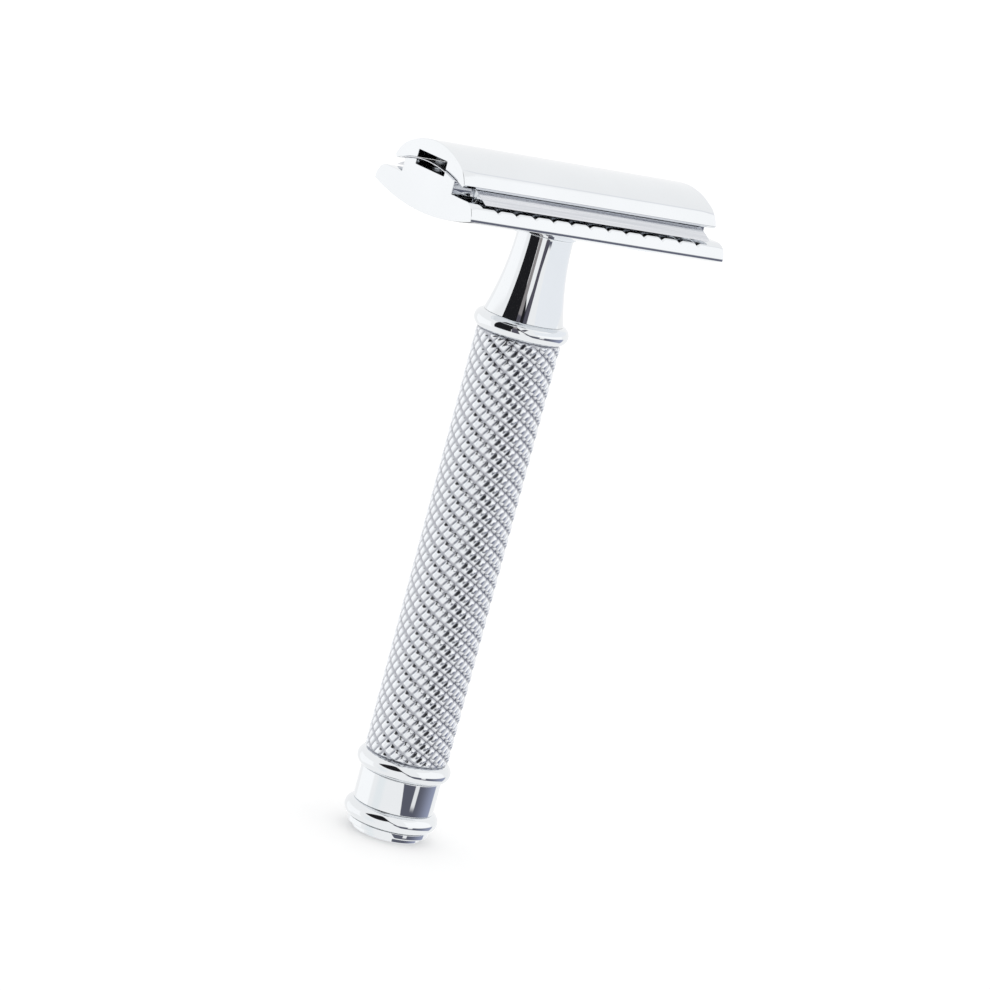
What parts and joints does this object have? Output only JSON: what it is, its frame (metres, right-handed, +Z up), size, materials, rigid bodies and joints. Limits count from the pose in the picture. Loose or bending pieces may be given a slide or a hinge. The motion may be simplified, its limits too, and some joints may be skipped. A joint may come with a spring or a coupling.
{
  "type": "safety razor",
  "caption": "Safety razor: domed cap on a threaded stud, flexed double-edge blade, scalloped baseplate, and a knurled handle with a flared neck, rings and a flat foot.",
  "frame": {"origin": "centre of the flat foot that the razor stands on", "axes": "+Z up along the handle to the head, +X along the head, -Y towards the front cutting edge"},
  "size_m": [0.0428, 0.0228, 0.094],
  "materials": {
    "chrome_head": "mirror polished chrome plate",
    "chrome_handle": "mirror polished chrome plate",
    "chrome_knurl": "chrome plate over fine diamond knurling",
    "blade_steel": "rolled stainless strip with ground and honed edges",
    "stud_steel": "plated machined thread and pins",
    "rod_brass": "plain machined brass"
  },
  "bodies": {
    "handle": {"neck": "chrome_handle", "collar_ring": "chrome_handle", "grip_sleeve": "chrome_knurl", "upper_ring": "chrome_handle", "band_sleeve": "chrome_handle", "lower_ring": "chrome_handle", "end_cap": "chrome_handle", "tie_rod": "rod_brass"},
    "base": {"baseplate": "chrome_head"},
    "blade_body": {"blade": "blade_steel"},
    "cap_body": {"cap": "chrome_head", "cap_stud": "stud_steel", "cap_pins": "stud_steel"}
  },
  "joints": [
    {"name": "head_turn", "type": "hinge", "parent": "handle", "child": "base", "pos_m": [0, 0, 0.0843], "axis": [0, 0, 1], "range_deg": [0, 3240]},
    {"name": "cap_rise", "type": "slide", "parent": "base", "child": "cap_body", "axis": [0, 0, 1], "range_m": [0, 0.0073]},
    {"name": "blade_rise", "type": "slide", "parent": "base", "child": "blade_body", "axis": [0, 0, 1], "range_m": [0, 0.0037]}
  ],
  "couplings": [
    {"joint": "cap_rise", "follows": "head_turn", "m_per_rad": 0.00012732},
    {"joint": "blade_rise", "follows": "head_turn", "m_per_rad": 0.000063662}
  ]
}
